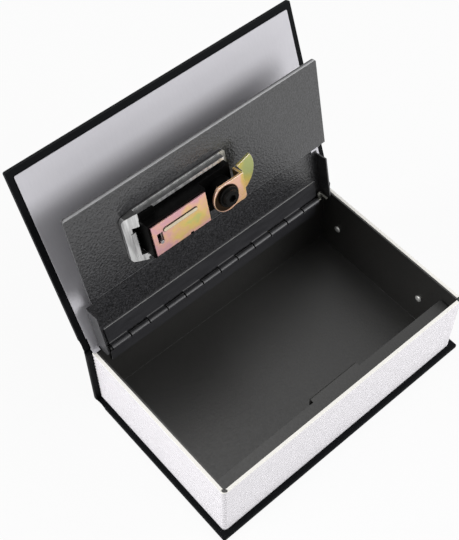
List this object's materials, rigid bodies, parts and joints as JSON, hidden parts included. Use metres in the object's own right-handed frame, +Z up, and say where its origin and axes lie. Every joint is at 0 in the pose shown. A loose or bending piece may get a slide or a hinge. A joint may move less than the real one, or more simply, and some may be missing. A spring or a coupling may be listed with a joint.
{
  "type": "book diversion safe",
  "caption": "A hollow book with a steel cash tray in place of its pages, under a hinged lid with a three-dial combination lock and a turning cam latch.",
  "frame": {"origin": "Centre of the page block's footprint, on the underside of the back board that rests on the table.", "axes": "+X runs along the long side of the book, from its left end to its right end as the open safe is faced; +Y runs from the fore edge to the spine; +Z is up."},
  "size_m": [0.1814, 0.1567, 0.1631],
  "materials": {
    "bookcloth": "grained black book cloth over board",
    "page_white": "white moulding, ribbed like a stack of leaves",
    "endpaper": "pale grey lining paper",
    "tray_steel": "black powder coat",
    "lid_steel": "dark grey textured powder coat",
    "rivet_steel": "bare pop rivets and hinge pin",
    "die_cast": "light grey die-cast zinc alloy",
    "black_plastic": "black moulded plastic",
    "zinc_gold": "steel with a yellow, rainbow-tinted zinc plating",
    "black_steel": "blackened steel screw",
    "spring_steel": "plain steel"
  },
  "bodies": {
    "case": {"back_board": "bookcloth", "back_joint_cloth": "bookcloth", "spine_board": "bookcloth", "front_joint_cloth": "bookcloth", "page_block": "page_white", "tray": "tray_steel", "side_rivet_1": "rivet_steel", "side_rivet_2": "rivet_steel", "side_rivet_3": "rivet_steel", "side_rivet_4": "rivet_steel", "tray_hinge_leaf": "lid_steel"},
    "cover": {"front_board": "bookcloth", "front_endpaper": "endpaper"},
    "lid": {"lid_sheet": "lid_steel", "lid_hinge_leaf": "lid_steel", "hinge_pin": "rivet_steel", "lock_housing": "die_cast", "lock_body": "black_plastic", "lock_back_plate": "zinc_gold", "dial_axle": "spring_steel", "detent_spring": "spring_steel", "face_plate": "black_plastic"},
    "latch": {"turn_knob": "black_plastic", "cam_shaft": "spring_steel", "cam": "zinc_gold", "cam_screw": "black_steel"},
    "dial_left": {"dial_1": "black_plastic"},
    "dial_middle": {"dial_2": "black_plastic"},
    "dial_right": {"dial_3": "black_plastic"},
    "code_stud": {"code_lever": "spring_steel"}
  },
  "joints": [
    {"name": "cover_hinge", "type": "hinge", "parent": "case", "child": "cover", "pos_m": [0, 0.05705, 0.053], "axis": [1, 0, 0], "range_deg": [0, 110.56], "deforming": ["front_joint_cloth"]},
    {"name": "lid_hinge", "type": "hinge", "parent": "case", "child": "lid", "pos_m": [0, 0.05095, 0.0483], "axis": [1, 0, 0], "range_deg": [0, 102.7]},
    {"name": "cam_turn", "type": "hinge", "parent": "lid", "child": "latch", "pos_m": [0.002, 0.04657, 0.1194], "axis": [0, -0.9755, 0.2198], "range_deg": [0, 90]},
    {"name": "dial_turn_1", "type": "hinge", "parent": "lid", "child": "dial_left", "pos_m": [-0.0385, 0.05706, 0.11724], "axis": [1, 0, 0], "continuous": true},
    {"name": "dial_turn_2", "type": "hinge", "parent": "lid", "child": "dial_middle", "pos_m": [-0.0275, 0.05706, 0.11724], "axis": [1, 0, 0], "continuous": true},
    {"name": "dial_turn_3", "type": "hinge", "parent": "lid", "child": "dial_right", "pos_m": [-0.0165, 0.05706, 0.11724], "axis": [1, 0, 0], "continuous": true},
    {"name": "code_set", "type": "slide", "parent": "lid", "child": "code_stud", "axis": [0, 0.2198, 0.9755], "range_m": [0, 0.003]}
  ],
  "couplings": [
    {"joint": "lid_hinge", "follows": "cover_hinge", "ratio": 0.9288}
  ]
}
